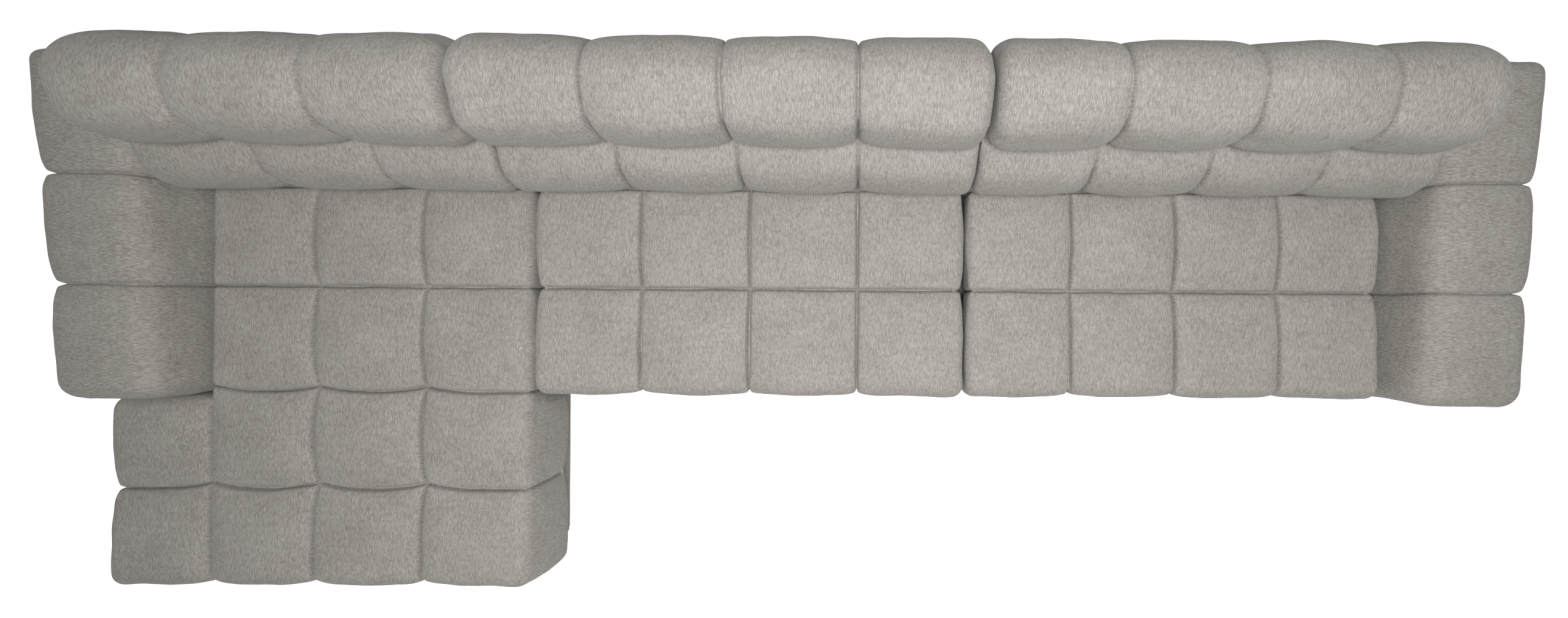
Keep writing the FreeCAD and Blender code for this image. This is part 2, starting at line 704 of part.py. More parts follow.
def back_frame(section, low_x, high_x):
    """Posts behind the seat frame, three rails let in between them, and straps across their front."""
    wide = f"(({high_x}) - ({low_x}))"
    bays = bay_count(wide)
    pitch = f"(({wide} - post_width) / {bays})"
    things = []
    tall = "roll_z - fit_gap - base_z"
    for index in range(bays + 1):
        x = f"({low_x}) + {pitch} * {index}"
        things.append(board(f"{section}_post_{index}", x, "back_frame_front_y", "base_z", "post_width",
                            "back_frame_depth", tall))
    top_rail_z = "roll_z - fit_gap - back_rail_height"
    heights = ("base_z", f"(base_z + {top_rail_z}) / 2", top_rail_z)
    for level, z in enumerate(heights):
        for index in range(bays):
            x = f"({low_x}) + {pitch} * {index} + post_width"
            things.append(board(f"{section}_back_rail_{level}_{index}", x,
                                "back_frame_front_y + back_frame_depth / 4", z, f"{pitch} - post_width",
                                "back_frame_depth / 2", "back_rail_height"))
    group(f"{section}_back_frame", things)
    count = round(number("strap_count"))
    straps = []
    for index in range(count):
        z = f"pad_z + (pad_top_z - pad_z) * {index + 0.5} / strap_count - strap_width / 2"
        straps.append(board(f"{section}_strap_{index}", low_x,
                            "back_frame_front_y - fit_gap - strap_thickness", z, wide,
                            "strap_thickness", "strap_width"))
    group(f"{section}_back_webbing", straps)


def back_panel(section, low_x, high_x):
    """The upholstered outside of the back, with its rear corners eased."""
    panel = board(f"{section}_back_panel_board", low_x, "back_frame_rear_y + fit_gap", "base_z",
                  f"({high_x}) - ({low_x})", "back_panel_thickness - fit_gap", "roll_z - fit_gap - base_z")
    eased = doc.addObject("Part::Fillet", f"{section}_back_panel")
    eased.Base = panel
    doc.recompute()
    rear, radius, near_enough = number("panel_rear_y"), number("back_panel_round"), 0.01
    eased.Edges = [(place, radius, radius) for place, edge in enumerate(panel.Shape.Edges, 1)
                   if abs(edge.CenterOfMass.y - rear) < near_enough]
    keep(eased, f"{section}_back_panel")


corner_block = padded_body(
    "corner_block", "XY_Plane",
    [("0", "0"), ("corner_block_side", "0"), ("corner_block_side", "rail_thickness / 2"),
     ("rail_thickness / 2", "corner_block_side"), ("0", "corner_block_side")],
    "corner_block_height", ("foot_inset", "foot_inset", "bolt_hole_radius"))
foot = turned_body(
    "foot", [("0", "0"), ("foot_tip_radius", "0"), ("foot_radius", "foot_height"),
             ("bolt_hole_radius", "foot_height"), ("bolt_hole_radius", "foot_height / 2"),
             ("0", "foot_height / 2")])
foot_bolt = turned_body(
    "foot_bolt",
    [("0", "foot_height / 2 + hole_clearance"), ("bolt_radius", "foot_height / 2 + hole_clearance"),
     ("bolt_radius", "base_z + corner_block_height - 2"),
     ("bolt_radius - 1", "base_z + corner_block_height - 1"), ("0", "base_z + corner_block_height - 1")])
clip = padded_body(
    "clip", "XZ_Plane",
    [("-clip_width / 2", "0"), ("-wire_diameter / 2 - fit_gap", "0"),
     ("-wire_diameter / 2 - fit_gap", "wire_diameter + 2 * fit_gap"),
     ("wire_diameter / 2 + fit_gap", "wire_diameter + 2 * fit_gap"), ("wire_diameter / 2 + fit_gap", "0"),
     ("clip_width / 2", "0"), ("clip_width / 2", "wire_diameter + 2 * fit_gap + clip_sheet"),
     ("-clip_width / 2", "wire_diameter + 2 * fit_gap + clip_sheet")],
    "clip_length", both_ways=True)
receiver = padded_body(
    "receiver", "XY_Plane",
    [("0", "-receiver_half_width"), ("receiver_depth", "-receiver_half_width"),
     ("receiver_depth", "receiver_lip - pocket_half_width"),
     ("pocket_x", "receiver_lip - pocket_half_width"),
     ("pocket_x", "-pocket_half_width"), ("plate_thickness", "-pocket_half_width"),
     ("plate_thickness", "pocket_half_width"), ("pocket_x", "pocket_half_width"),
     ("pocket_x", "pocket_half_width - receiver_lip"),
     ("receiver_depth", "pocket_half_width - receiver_lip"),
     ("receiver_depth", "receiver_half_width"), ("0", "receiver_half_width")],
    "receiver_height")
tongue = padded_body(
    "tongue", "XZ_Plane",
    [("0", "receiver_z - tongue_z"), ("plate_thickness", "receiver_z - tongue_z"),
     ("plate_thickness", "-plate_thickness"), ("tongue_reach - plate_thickness", "-plate_thickness"),
     ("tongue_reach - plate_thickness", "-tongue_depth"), ("tongue_reach", "-tongue_depth"),
     ("tongue_reach", "0"), ("0", "0")],
    "tongue_width", both_ways=True)
screw = turned_body(
    "screw", [("0", "-screw_length"), ("screw_radius", "2 - screw_length"), ("screw_radius", "0"),
              ("screw_head_radius", "0"), ("screw_head_radius - 1", "screw_head_height"),
              ("0", "screw_head_height")])


def middle_section():
    box = ("middle_frame_left_x", "middle_frame_right_x", "sofa_rail_y", "seat_frame_rear_y")
    left_screws = screw_spots("middle_frame_left_x - receiver_depth", -1, "receiver")
    right_screws = screw_spots("middle_frame_right_x + receiver_depth", 1, "receiver")
    holes = {"left": screw_holes("left_receiver", left_screws),
             "right": screw_holes("right_receiver", right_screws)}
    things, spots = seat_box("middle", "seat", *box, holes)
    group("middle_seat_frame", things)
    springs, clips = seat_springs("middle", "seat", *box)
    group("middle_seat_springs", springs)
    group("middle_spring_clips", clips)
    deck_and_dust("middle", [box], [spots])
    feet("middle", spots)
    back_frame("middle", "middle_frame_left_x", "middle_frame_right_x")
    back_panel("middle", "chaise_joint_x + section_gap / 2", "right_joint_x - section_gap / 2")
    group("middle_base_band", [front_band("middle", "chaise_joint_x + section_gap / 2",
                                          "right_joint_x - section_gap / 2")])
    receivers = [
        bored(copy_of(receiver, "middle_frame_left_x", "connector_y", "receiver_z", 180), holes["left"]),
        bored(copy_of(receiver, "middle_frame_right_x", "connector_y", "receiver_z"), holes["right"]),
    ]
    group("middle_receivers", receivers)
    group("middle_receiver_screws", screws(left_screws) + screws(right_screws))


def right_section():
    box = ("right_frame_left_x", "right_inner_x", "sofa_rail_y", "seat_frame_rear_y")
    tongue_screws = screw_spots("right_frame_left_x - plate_thickness", -1, "tongue")
    holes = {"left": screw_holes("right_tongue", tongue_screws), "right": arm_bolt_holes("right", "rail")}
    things, spots = seat_box("right", "seat", *box, holes)
    group("right_seat_frame", things)
    springs, clips = seat_springs("right", "seat", *box)
    group("right_seat_springs", springs)
    group("right_spring_clips", clips)
    deck_and_dust("right", [box], [spots])
    feet("right", spots + arm_foot_spots("right", 1))
    back_frame("right", "right_frame_left_x", "right_inner_x - section_gap")
    back_panel("right", "right_joint_x + section_gap / 2", "right_inner_x - section_gap / 2")
    group("right_base_band", [front_band("right", "right_joint_x + section_gap / 2",
                                         "right_inner_x - section_gap / 2")])
    hook = bored(copy_of(tongue, "right_frame_left_x", "connector_y", "tongue_z", 180), holes["left"])
    group("right_tongue", [hook])
    group("right_tongue_screws", screws(tongue_screws))


def front_band(section, low_x, high_x):
    return board(f"{section}_front_band", low_x, "sofa_rail_y - band_thickness - fit_gap", "base_z",
                 f"({high_x}) - ({low_x})", "band_thickness", "rail_height")


def chaise_section():
    """The chaise's seat frame is two boxes: one under the seat, and a wider one in front of the arm."""
    rear_box = ("left_inner_x", "chaise_frame_right_x", "chaise_split_y", "seat_frame_rear_y")
    front_box = ("chaise_frame_left_x", "chaise_frame_right_x", "chaise_rail_y", "chaise_split_y")
    things, spots = seat_box("chaise", "rear", *rear_box, {"left": arm_bolt_holes("left", "rail")})
    more, more_spots = seat_box("chaise", "front", *front_box, {})
    tongue_screws = screw_spots("chaise_joint_x - frame_setback + plate_thickness", 1, "tongue")
    tongue_holes = screw_holes("chaise_tongue", tongue_screws)
    block = board("chaise_connector_block", "chaise_frame_right_x", "connector_y - tongue_width",
                  "base_z", "base_inset - frame_setback", "2 * tongue_width", "rail_height")
    group("chaise_seat_frame", things + more + [bored(block, tongue_holes)])
    hook = bored(copy_of(tongue, "chaise_joint_x - frame_setback", "connector_y", "tongue_z"),
                 tongue_holes)
    group("chaise_tongue", [hook])
    group("chaise_tongue_screws", screws(tongue_screws))
    springs, clips = seat_springs("chaise", "rear", *rear_box)
    more_springs, more_clips = seat_springs("chaise", "front", *front_box)
    group("chaise_seat_springs", springs + more_springs)
    group("chaise_spring_clips", clips + more_clips)
    deck_and_dust("chaise", [rear_box, front_box], [spots, more_spots])
    feet("chaise", spots + more_spots + arm_foot_spots("left", -1))
    back_frame("chaise", "left_inner_x + section_gap", "chaise_joint_x - frame_setback")
    back_panel("chaise", "left_inner_x + section_gap / 2", "chaise_joint_x - section_gap / 2")
    out = "band_thickness + fit_gap"
    tall = "rail_height"
    wide = f"chaise_frame_right_x - chaise_frame_left_x + 2 * ({out})"
    deep = "chaise_split_y - chaise_rail_y"
    group("chaise_base_band", [
        board("chaise_front_band", f"chaise_frame_left_x - ({out})", f"chaise_rail_y - ({out})", "base_z",
              wide, "band_thickness", tall),
        board("chaise_left_band", f"chaise_frame_left_x - ({out})", "chaise_rail_y", "base_z",
              "band_thickness", deep, tall),
        board("chaise_right_band", "chaise_frame_right_x + fit_gap", "chaise_rail_y", "base_z",
              "band_thickness", "sofa_rail_y - chaise_rail_y", tall),
    ])


def arm_bolts(name, side):
    """Bolts from inside the seat frame, through the side rail and into the arm's sill."""
    head_x = f"{name}_inner_x - rail_thickness - fit_gap - bolt_head_height"
    stem_x = f"{name}_inner_x - rail_thickness - fit_gap"
    if side < 0:
        head_x = f"{name}_inner_x + rail_thickness + fit_gap"
        stem_x = f"{name}_inner_x + rail_thickness + fit_gap - bolt_length + 2 * bolt_head_height"
    bolts = []
    for index, y in enumerate(arm_bolt_spots()):
        z = "base_z + rail_height / 2"
        head = rod(f"{name}_bolt_head_{index}", head_x, y, z, "bolt_head_radius", "bolt_head_height",
                   ALONG)
        stem = rod(f"{name}_bolt_stem_{index}", stem_x, y, z, "bolt_radius",
                   "bolt_length - 2 * bolt_head_height", ALONG)
        bolt = doc.addObject("Part::Fuse", f"{name}_arm_bolt_{index}")
        bolt.Base, bolt.Tool = head, stem
        bolts.append(bolt)
    group(f"{name}_arm_bolts", bolts)


def screw_spots(face_x, way, kind):
    """Where a connector's two screws enter, on the face at face_x whose outside is to the way of X."""
    across = "(pocket_half_width + receiver_cheek / 2)" if kind == "receiver" else "tongue_width / 3"
    z = "receiver_z + receiver_height / 2"
    return [(face_x, f"connector_y + {side} * {across}", z, way) for side in (-1, 1)]


def screw_holes(name, spots):
    return [rod(f"{name}_screw_hole_{index}", f"{x} - 2 * screw_length", y, z, "screw_hole_radius",
                "4 * screw_length", ALONG) for index, (x, y, z, way) in enumerate(spots)]


def screws(spots):
    return [copy_of(screw, x, y, z, axis=Vector(way, 0, 0)) for x, y, z, way in spots]


def export():
    os.makedirs("parts", exist_ok=True)
    doc.recompute()
    for thing in doc.Objects:
        if "Invalid" in thing.State or "Error" in thing.State:
            raise RuntimeError(f"{thing.Name} failed: {thing.State}")
    for thing in pieces:
        if thing.Shape.isNull() or not thing.Shape.isValid():
            raise RuntimeError(f"{thing.Label} has no valid shape")
    for thing in pieces:
        thing.Shape.exportStep(f"parts/{thing.Label}.step")
        print(thing.Label, len(thing.Shape.Solids), round(thing.Shape.Volume / 1e6, 3))


seats()
backs()
arms()
middle_section()
right_section()
chaise_section()
arm_bolts("left", -1)
arm_bolts("right", 1)
export()
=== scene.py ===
"""The looks of the sectional sofa with chaise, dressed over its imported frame. Metres, in the frame's axes."""
import math

import bmesh
import bpy
import numpy as np
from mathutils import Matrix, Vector, noise

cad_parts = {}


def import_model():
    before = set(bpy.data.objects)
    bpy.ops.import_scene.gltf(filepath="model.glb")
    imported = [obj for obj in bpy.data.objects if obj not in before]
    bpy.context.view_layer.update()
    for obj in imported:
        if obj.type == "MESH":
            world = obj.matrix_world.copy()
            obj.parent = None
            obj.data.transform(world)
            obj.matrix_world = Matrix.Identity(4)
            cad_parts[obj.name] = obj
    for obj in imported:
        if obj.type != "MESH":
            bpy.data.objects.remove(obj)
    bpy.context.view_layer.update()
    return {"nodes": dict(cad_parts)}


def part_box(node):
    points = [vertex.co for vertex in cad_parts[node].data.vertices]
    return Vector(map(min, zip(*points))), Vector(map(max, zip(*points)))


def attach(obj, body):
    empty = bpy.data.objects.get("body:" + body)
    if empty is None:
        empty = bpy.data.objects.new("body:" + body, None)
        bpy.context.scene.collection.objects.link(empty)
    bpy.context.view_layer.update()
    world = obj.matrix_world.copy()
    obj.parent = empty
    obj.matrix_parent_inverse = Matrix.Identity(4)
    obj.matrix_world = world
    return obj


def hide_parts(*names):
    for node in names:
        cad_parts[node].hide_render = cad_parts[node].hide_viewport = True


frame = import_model()

# The sofa's own lines. They are the frame's, or within a few millimetres of them
LEFT_INNER, CHAISE_JOINT, RIGHT_JOINT, RIGHT_INNER = -1.7575, -0.7925, 0.5035, 1.7575
REAR, SOFA_FRONT, CHAISE_FRONT = 0.77, -0.19, -0.77
SEAT_LINE, FIRST_SEAM, SECOND_SEAM, THIRD_SEAM = 0.436, 0.135, -0.166, -0.458
CHAISE_LEFT, PAD_REAR, HALF_GAP = -2.048, 0.6059, 0.0015
SEAT_TOP, CUSHION_BOTTOM, BASE = 0.47, 0.2314, 0.074
ARM_TOP_REAR, ARM_TOP_FRONT = 0.692, 0.615

# Upholstery
CELL = 0.014
SEAM_STEPS = np.array([0, 0.002, 0.006, 0.012, 0.021, 0.033, 0.048])
ARC = 1 - np.cos(np.linspace(0, math.pi / 2, 7))
SEAM_REACH = 0.046
STITCH_HALF_WIDTH, STITCH_DEPTH = 0.0022, 0.018
FOLD_DEPTH, FOLD_WAVE = 0.010, 0.026
SIDE_SHARE = 0.55
CAP_SHRINKS = (0.86, 0.66, 0.42, 0.18)


# Forms

def spread(lines, first_radius, last_radius, cell=CELL):
    """Grid spots from the first line to the last, closer together at the seams and round the two ends."""
    spots = []
    for index, (low, high) in enumerate(zip(lines, lines[1:])):
        near = ARC * first_radius if index == 0 and first_radius else SEAM_STEPS
        far = ARC * last_radius if index == len(lines) - 2 and last_radius else SEAM_STEPS
        start, end = low + near[-1], high - far[-1]
        count = max(1, round((end - start) / cell))
        spots += [*(low + near[:-1]), *np.linspace(start, end, count + 1), *(high - far[-2:0:-1])]
    return np.array([*spots, lines[-1]])


def seam_distance(spots, seams):
    """How far each spot is from the nearest seam."""
    if not seams:
        return np.full(len(spots), np.inf)
    return np.min(np.abs(spots[:, None] - np.array(seams)[None, :]), axis=1)


def drawn_in(spots, seams, reach=SEAM_REACH):
    """1 on a seam, falling to 0 where the fabric has left it."""
    away = np.clip(seam_distance(spots, seams) / reach, 0, 1)
    return 1 - (1 - (1 - away) ** 2) ** 0.6


def stitched(spots, seams):
    """1 in the tight groove of the stitches, and 0 a few millimetres beside it."""
    return np.exp(-(seam_distance(spots, seams) / STITCH_HALF_WIDTH) ** 2)


def fallen(spots, lines, first_open, last_open):
    """0 at the middle of each tuft and 1 at its lines. An open end keeps its fullness to the edge."""
    out = np.ones(len(spots))
    for index, (low, high) in enumerate(zip(lines, lines[1:])):
        inside = (spots >= low) & (spots <= high)
        share = 2 * (spots[inside] - low) / (high - low) - 1
        if index == 0 and first_open:
            share = np.maximum(share, 0)
        if index == len(lines) - 2 and last_open:
            share = np.minimum(share, 0)
        out[inside] = np.minimum(out[inside], share ** 2)
    return out


def ripple(values, phase, wave):
    """A smooth run of small irregular folds along one direction."""
    return np.array([noise.noise((value / wave, phase, 0.0)) for value in values])


def mesh_object(name, parts):
    """One object of several closed shells, each a set of points, faces and sewn lines."""
    vertices, faces, sewn, start = [], [], set(), 0
    for points, polygons, seams in parts:
        vertices += [tuple(p) for p in points]
        faces += [tuple(int(v) + start for v in polygon) for polygon in polygons]
        sewn |= {(int(min(pair)) + start, int(max(pair)) + start) for pair in seams}
        start += len(points)
    mesh = bpy.data.meshes.new(name)
    mesh.from_pydata(vertices, [], faces)
    mesh.update()
    made = bmesh.new()
    made.from_mesh(mesh)
    bmesh.ops.recalc_face_normals(made, faces=made.faces)
    crease = made.edges.layers.float.new("crease_edge")
    for edge in made.edges:
        if tuple(sorted(v.index for v in edge.verts)) in sewn:
            edge[crease] = 1.0
    made.to_mesh(mesh)
    made.free()
    thing = bpy.data.objects.new(name, mesh)
    bpy.context.scene.collection.objects.link(thing)
    return thing


def edge_share(spots, lines, first_radius, last_radius, sewn):
    """How far each spot has gone round an outer edge: -1 or 1 on the outline, 0 inside, and that radius."""
    share, radius = np.zeros_like(spots), np.full_like(spots, 1e-6)
    if not sewn[0]:
        near = np.clip(1 - (spots - lines[0]) / first_radius, 0, 1)
        share, radius = np.where(near > 0, -near, share), np.where(near > 0, first_radius, radius)
    if not sewn[1]:
        near = np.clip(1 - (lines[-1] - spots) / last_radius, 0, 1)
        share, radius = np.where(near > 0, near, share), np.where(near > 0, last_radius, radius)
    return share, radius


def sewn_lines(lines, sewn):
    """The lines between the tufts, and the outer ones that are sewn."""
    return lines[1:-1] + [line for line, on in zip((lines[0], lines[-1]), sewn) if on]


def rounded_top(across, along, x_lines, y_lines, radii, sewn, top):
    """A block's top and its outward normals, rounded over each outer edge that isn't sewn."""
    left, right, near, far = radii
    x_share, x_radius = edge_share(across, x_lines, left, right, sewn[:2])
    y_share, y_radius = edge_share(along, y_lines, near, far, sewn[2:])
    x_out = x_share * np.sqrt(1 - y_share * y_share / 2)
    y_out = y_share * np.sqrt(1 - x_share * x_share / 2)
    outward = np.clip(x_out * x_out + y_out * y_out, 0, 1)
    radius = (x_out * x_out * x_radius + y_out * y_out * y_radius) / np.maximum(outward, 1e-9)
    rise = np.sqrt(1 - outward)
    spots = np.stack([across + x_radius * (x_out - x_share), along + y_radius * (y_out - y_share),
                      top - radius * (1 - rise)], axis=-1)
    normal = np.stack([x_out, y_out, rise], axis=-1)
    return spots, normal / np.linalg.norm(normal, axis=-1, keepdims=True)


def sides_down(points, loop, normals, fallen_share, bottom, count, side):
    """Adds rings of points from the outline down to the bottom, and gives every ring, the outline first."""
    rings = [loop]
    for step in range(1, count + 1):
        share = step / count
        ring = []
        for place in loop:
            start = points[place]
            out = Vector((*normals[place][:2], 0.0))
            fullness = 1 - min(1.0, fallen_share[place])
            push = side(start, out, share, fullness) if side else 0.0
            ring.append(len(points))
            points.append(np.array([start[0] + out.x * push, start[1] + out.y * push,
                                    start[2] + (bottom - start[2]) * share]))
        rings.append(ring)
    return rings


def underside(points, index, loop, lowest, across, along, bottom):
    """Adds a flat grid of points inside the lowest ring, and gives its faces."""
    wide, deep = index.shape
    under = index.copy()
    for place, low in zip(loop, lowest):
        under[place // deep, place % deep] = low
    for i in range(1, wide - 1):
        for j in range(1, deep - 1):
            under[i, j] = len(points)
            points.append(np.array([across[i, j], along[i, j], bottom]))
    return [(under[i, j], under[i, j + 1], under[i + 1, j + 1], under[i + 1, j])
            for i in range(wide - 1) for j in range(deep - 1)]


def block(x_lines, y_lines, bottom, top, radii, seam=0.012, crown=0.014, sewn=(False,) * 4, side=None,
          turn=None, phase=0.0, cell=CELL, bow=None):
    """A tufted block: rows and columns on top, sides that follow them down, and a flat underside.
    radii and sewn are for its left, right, near and far edges; a sewn edge meets another block in a seam.
    side says how far a side stands out at a point and a share of the way down; bow moves the seams
    sideways between their nodes, where the fuller tuft leans over its neighbour."""
    rounds = [0 if on else radius for on, radius in zip(sewn, radii)]
    xs, ys = spread(x_lines, *rounds[:2], cell), spread(y_lines, *rounds[2:], cell)
    across, along = np.meshgrid(xs, ys, indexing="ij")
    spots, normal = rounded_top(across, along, x_lines, y_lines, radii, sewn, top)
    x_seams, y_seams = sewn_lines(x_lines, sewn[:2]), sewn_lines(y_lines, sewn[2:])
    dx, dy = drawn_in(xs, x_seams)[:, None], drawn_in(ys, y_seams)[None, :]
    fx = fallen(xs, x_lines, not sewn[0], not sewn[1])[:, None]
    fy = fallen(ys, y_lines, not sewn[2], not sewn[3])[None, :]
    folds_x = ripple(xs, phase + 3.1, FOLD_WAVE)[:, None] * dy * (1 - dy)
    folds_y = ripple(ys, phase + 7.7, FOLD_WAVE)[None, :] * dx * (1 - dx)
    depth = seam * np.hypot(dx, dy) + crown * (1 - (1 - fx) * (1 - fy)) + FOLD_DEPTH * (folds_x + folds_y)
    if seam:
        grooves = np.maximum(stitched(xs, x_seams)[:, None], stitched(ys, y_seams)[None, :])
        depth = depth + STITCH_DEPTH * grooves
    depth = depth * (SIDE_SHARE + (1 - SIDE_SHARE) * normal[..., 2])
    spots = spots - normal * depth[..., None]
    if bow:
        lean_x, lean_y = bow(across, along)
        spots[..., 0] += lean_x * fallen(xs, x_lines, True, True)[:, None] * (1 - fy)
        spots[..., 1] += lean_y * fallen(ys, y_lines, True, True)[None, :] * (1 - fx)
    return closed_block(spots, normal, (dx, dy), (fx, fy), (across, along), (bottom, top), cell, side, turn)


def closed_block(spots, normal, drawn, falls, grid, heights, cell, side, turn):
    """The points, faces and sewn lines of a block, from its shaped top."""
    (dx, dy), (fx, fy), (across, along), (bottom, top) = drawn, falls, grid, heights
    wide, deep = across.shape
    points = list(spots.reshape(-1, 3))
    index = np.arange(wide * deep).reshape(wide, deep)
    faces = [(index[i, j], index[i + 1, j], index[i + 1, j + 1], index[i, j + 1])
             for i in range(wide - 1) for j in range(deep - 1)]
    loop = [*index[:, 0], *index[-1, 1:], *index[-2::-1, -1], *index[0, -2:0:-1]]
    fallen_share = np.maximum(fx, fy).reshape(-1)
    count = max(2, round((top - bottom) / (1.6 * cell)))
    rings = sides_down(points, loop, normal.reshape(-1, 3), fallen_share, bottom, count, side)
    for upper, lower in zip(rings, rings[1:]):
        faces += [(upper[k - 1], upper[k], lower[k], lower[k - 1]) for k in range(len(loop))]
    faces += underside(points, index, loop, rings[-1], across, along, bottom)
    columns, rows = np.flatnonzero(dx[:, 0] > 0.99), np.flatnonzero(dy[0] > 0.99)
    seams = [(index[i, j], index[i, j + 1]) for i in columns for j in range(deep - 1)]
    seams += [(index[i, j], index[i + 1, j]) for j in rows for i in range(wide - 1)]
    for k, place in enumerate(loop):
        if place // deep in columns or place % deep in rows:
            seams += [(upper[k], lower[k]) for upper, lower in zip(rings, rings[1:])]
    points = np.array(points)
    return turn(points) if turn else points, faces, seams


def pillow_side(_start, out, share, fullness):
    """A cushion's side: it swells in front and behind, and tucks in all round under its lower edge."""
    return 0.008 * abs(out.y) * math.sin(math.pi * share) * fullness - 0.018 * share ** 3


def chaise_side(start, out, share, fullness):
    """As a cushion's side, but fuller and low down where nothing stands beside or before it."""
    clear = min(1.0, max(0.0, (SOFA_FRONT - 0.004 - start[1]) / 0.03)) * max(out.x, -0.6 * out.y, 0.0)
    full = 0.022 * math.sin(0.62 * math.pi * share) * (0.45 + 0.55 * fullness)
    return clear * full + (1 - clear) * pillow_side(start, out, share, fullness)


def seat_bow(x, y):
    """How far the seams lean between their nodes, outwards from the sofa's middle and towards its front."""
    return 0.011 * (x - 0.18), np.clip(0.06 * (y - 0.1), -0.017, 0.0)


def loop_through(corners, step):
    """A closed smooth line through points of a side view, in equal steps, with its outward normals.
    A corner given twice stays sharp."""
    points, count = [], len(corners)
    for index in range(count):
        before, start = Vector(corners[index - 1]), Vector(corners[index])
        end, after = Vector(corners[(index + 1) % count]), Vector(corners[(index + 2) % count])
        if (end - start).length < 1e-9:
            continue
        lead = (end - before) / 2 if (start - before).length > 1e-9 else Vector((0, 0))
        trail = (after - start) / 2 if (after - end).length > 1e-9 else Vector((0, 0))
        for part in range(24):
            t = part / 24
            points.append(start * (2 * t ** 3 - 3 * t ** 2 + 1) + lead * (t ** 3 - 2 * t ** 2 + t)
                          + end * (3 * t ** 2 - 2 * t ** 3) + trail * (t ** 3 - t ** 2))
    line = np.array([tuple(p) for p in points])
    closed = np.vstack([line, line[:1]])
    lengths = np.concatenate([[0], np.cumsum(np.linalg.norm(np.diff(closed, axis=0), axis=1))])
    samples = np.linspace(0, lengths[-1], round(lengths[-1] / step) + 1)[:-1]
    even = np.stack([np.interp(samples, lengths, closed[:, k]) for k in (0, 1)], axis=-1)
    ahead = np.roll(even, -1, axis=0) - np.roll(even, 1, axis=0)
    normals = np.stack([ahead[:, 1], -ahead[:, 0]], axis=-1)
    normals /= np.linalg.norm(normals, axis=1, keepdims=True)
    area = np.sum(even[:, 0] * np.roll(even[:, 1], -1) - np.roll(even[:, 0], -1) * even[:, 1])
    return even, normals if area > 0 else -normals


def bolster(lines, radii, corners, weight, place, seam, crown, dome, reach=SEAM_REACH, phase=0.0,
            stretch=None, gather=0.0):
    """A long padded form: one side view carried along its length, drawn in at the sewn lines, with rounded
    ends. weight says how far the fabric gives way for each normal; place turns length and side view into
    a point of the frame."""
    spots = spread(lines, *radii)
    profile, normals = loop_through(corners, CELL)
    give = weight(profile, normals)
    pull = np.clip(give * 2, 0, 1)
    middle = profile.mean(axis=0)
    share, radius = edge_share(spots, lines, *radii, (False, False))
    drawn = drawn_in(spots, lines[1:-1], reach)
    grooves = stitched(spots, lines[1:-1])
    crowned = fallen(spots, lines, True, True)
    angle = np.arctan2(profile[:, 1] - middle[1], profile[:, 0] - middle[0])
    pleats = np.array([noise.noise((math.cos(t) * 3.4, math.sin(t) * 3.4, phase)) for t in angle])
    travelled = np.concatenate([[0], np.cumsum(np.linalg.norm(np.diff(profile, axis=0), axis=1))])
    folds = ripple(travelled, phase + 5.3, FOLD_WAVE)
    rings = []
    for k, spot in enumerate(spots):
        inset = radius[k] * (1 - math.sqrt(max(0.0, 1 - share[k] ** 2)))
        depth = (seam * drawn[k] + crown * crowned[k] + STITCH_DEPTH * grooves[k]) * give
        depth = depth + FOLD_DEPTH * folds * drawn[k] * (1 - drawn[k]) * give
        depth = depth + inset * pull + gather * pleats * abs(share[k]) ** 1.5 * pull
        rings.append((spot, profile - normals * depth[:, None]))
    rings = end_caps(*rings[0], -dome)[::-1] + rings + end_caps(*rings[-1], dome)
    points, faces, size = [], [], len(profile)
    for spot, ring in rings:
        points += [place(spot, y, z) for y, z in (stretch(spot, ring) if stretch else ring)]
    for k in range(len(rings) - 1):
        for m in range(size):
            after = (m + 1) % size
            faces.append((k * size + m, k * size + after, (k + 1) * size + after, (k + 1) * size + m))
    faces.append(tuple(range(size)))
    faces.append(tuple((len(rings) - 1) * size + m for m in range(size)))
    sewn = [k + len(CAP_SHRINKS) for k in np.flatnonzero(drawn > 0.99)]
    seams = [(k * size + m, k * size + (m + 1) % size) for k in sewn for m in range(size) if give[m] > 0.1]
    return np.array(points), faces, seams


def end_caps(spot, ring, dome):
    """Smaller and smaller rings that close one end, bowed outwards by the dome."""
    heart = ring.mean(axis=0)
    return [(spot + dome * (1 - shrink ** 2), heart + (ring - heart) * shrink) for shrink in CAP_SHRINKS]


def crumple(thing, amount, size, phase):
    """Soft irregular hollows over a whole piece, along its normals."""
    mesh = thing.data
    moves = []
    for vertex in mesh.vertices:
        spot = vertex.co / size
        wide = noise.noise(spot + Vector((phase, 0, 0)))
        fine = noise.noise(spot * 2.7 + Vector((0, phase, 3.0)))
        moves.append(vertex.co + vertex.normal * amount * (wide + 0.45 * fine - 0.35))
    for vertex, spot in zip(mesh.vertices, moves):
        vertex.co = spot
    mesh.update()


def smoothed(thing):
    """Subdivides a piece once, for good, and shades it smooth."""
    modifier = thing.modifiers.new("fine", "SUBSURF")
    modifier.levels = modifier.render_levels = 1
    graph = bpy.context.evaluated_depsgraph_get()
    finer = bpy.data.meshes.new_from_object(thing.evaluated_get(graph))
    coarse = thing.data
    thing.modifiers.clear()
    thing.data = finer
    bpy.data.meshes.remove(coarse)
    finer.name = thing.name
    finer.polygons.foreach_set("use_smooth", [True] * len(finer.polygons))
    finer.update()
    return thing


# Materials

